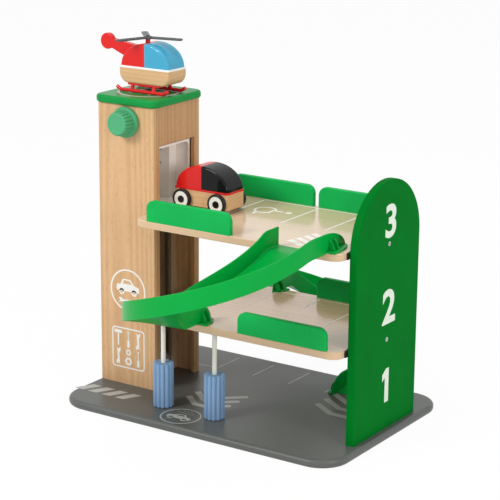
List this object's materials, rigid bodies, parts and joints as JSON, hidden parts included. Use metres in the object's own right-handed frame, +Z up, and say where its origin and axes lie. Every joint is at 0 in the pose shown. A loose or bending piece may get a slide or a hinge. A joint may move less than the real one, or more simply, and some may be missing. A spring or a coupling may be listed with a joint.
{
  "type": "toy parking garage with lift",
  "caption": "Toy parking garage with a hand-wound car lift, parking decks, curved ramps, wash rollers, a rooftop helicopter and a small car.",
  "frame": {"origin": "middle of the base board's plan, on its underside", "axes": "+X along the front from the lift tower to the number panel, +Y to the rear, +Z up"},
  "size_m": [0.486, 0.526, 0.5133],
  "materials": {
    "grey_board": "satin",
    "tower_veneer": "satin",
    "deck_plywood": "gloss",
    "green_board": "satin",
    "ramp_green": "gloss",
    "knob_green": "satin",
    "wash_blue": "matte",
    "post_white": "satin",
    "rail_wood": "matte",
    "cabin_plastic": "satin",
    "slider_plastic": "matte",
    "hoist_rubber": "matte",
    "dark_plastic": "matte",
    "bush_plastic": "matte",
    "steel": "brushed",
    "dark_steel": "brushed",
    "toy_wood": "satin",
    "toy_red": "gloss",
    "toy_black": "gloss",
    "toy_blue": "gloss",
    "toy_white": "gloss",
    "car_tyre": "matte",
    "hub_white": "satin",
    "rotor_grey": "satin"
  },
  "bodies": {
    "garage": {"base_board": "grey_board", "tower_front_board": "tower_veneer", "tower_rear_board": "tower_veneer", "tower_left_board": "tower_veneer", "tower_lift_frame": "tower_veneer", "roof_board": "green_board", "guide_rails": "rail_wood", "deck_battens": "deck_plywood", "upper_deck": "deck_plywood", "lower_deck": "deck_plywood", "number_panel": "green_board", "deck_end_strips": "dark_plastic", "panel_screws": "dark_steel", "base_screws": "steel", "batten_screws": "steel", "upper_front_guard": "green_board", "upper_rear_left_guard": "green_board", "upper_rear_right_guard": "green_board", "lower_front_guard": "green_board", "lower_rear_right_guard": "green_board", "upper_ramp": "ramp_green", "lower_ramp": "ramp_green", "wash_posts": "post_white", "shaft_bushes": "bush_plastic", "idler_pin": "steel", "hoist_belt": "hoist_rubber"},
    "lift": {"lift_cabin": "cabin_plastic", "cabin_slider": "slider_plastic", "slider_screws": "steel"},
    "knob": {"lift_knob": "knob_green", "knob_shaft": "steel", "drive_pulley": "bush_plastic"},
    "idler": {"idler_pulley": "bush_plastic"},
    "left_roller": {"wash_roller_left": "wash_blue"},
    "right_roller": {"wash_roller_right": "wash_blue"},
    "car": {"car_chassis": "toy_wood", "car_band": "toy_red", "car_rear_body": "toy_red", "car_front_body": "toy_black"},
    "car_rear_wheels": {"car_rear_tyres": "car_tyre", "car_rear_hubs": "hub_white", "car_rear_axle": "toy_black"},
    "car_front_wheels": {"car_front_tyres": "car_tyre", "car_front_hubs": "hub_white", "car_front_axle": "toy_black"},
    "helicopter": {"heli_hull": "toy_wood", "heli_band": "toy_white", "heli_rear_cockpit": "toy_red", "heli_front_cockpit": "toy_blue", "heli_tail": "toy_red", "heli_skids": "toy_red", "heli_mast": "toy_red", "rotor_pin": "toy_red"},
    "rotor": {"heli_rotor": "rotor_grey"}
  },
  "joints": [
    {"name": "lift_travel", "type": "slide", "parent": "garage", "child": "lift", "axis": [0, 0, 1], "range_m": [-0.2626, 0]},
    {"name": "knob_turn", "type": "hinge", "parent": "garage", "child": "knob", "pos_m": [-0.1743, -0.0555, 0.3986], "axis": [0, -1, 0], "range_deg": [-1569, 0]},
    {"name": "idler_turn", "type": "hinge", "parent": "garage", "child": "idler", "pos_m": [-0.1743, 0.0313, 0.026], "axis": [0, -1, 0], "range_deg": [-1569, 0]},
    {"name": "left_roller_spin", "type": "hinge", "parent": "garage", "child": "left_roller", "pos_m": [-0.082, -0.0976, 0.012], "axis": [0, 0, 1], "continuous": true},
    {"name": "right_roller_spin", "type": "hinge", "parent": "garage", "child": "right_roller", "pos_m": [0.0045, -0.0976, 0.012], "axis": [0, 0, 1], "continuous": true},
    {"name": "car_roll", "type": "slide", "parent": "garage", "child": "car", "axis": [1, 0, 0], "range_m": [0, 0.225]},
    {"name": "car_rear_wheels_turn", "type": "hinge", "parent": "car", "child": "car_rear_wheels", "pos_m": [-0.1044, 0.0037, 0.2918], "axis": [0, 1, 0], "range_deg": [0, 891]},
    {"name": "car_front_wheels_turn", "type": "hinge", "parent": "car", "child": "car_front_wheels", "pos_m": [-0.0454, 0.0037, 0.2918], "axis": [0, 1, 0], "range_deg": [0, 891]},
    {"name": "helicopter_lift_off", "type": "slide", "parent": "garage", "child": "helicopter", "axis": [0, 0, 1], "range_m": [0, 0.08]},
    {"name": "rotor_spin", "type": "hinge", "parent": "helicopter", "child": "rotor", "pos_m": [-0.177, -0.001, 0.5085], "axis": [0, 0, 1], "continuous": true}
  ],
  "couplings": [
    {"joint": "knob_turn", "follows": "lift_travel", "rad_per_m": 104.17},
    {"joint": "idler_turn", "follows": "lift_travel", "rad_per_m": 104.17},
    {"joint": "car_rear_wheels_turn", "follows": "car_roll", "rad_per_m": 68.966},
    {"joint": "car_front_wheels_turn", "follows": "car_roll", "rad_per_m": 68.966}
  ]
}
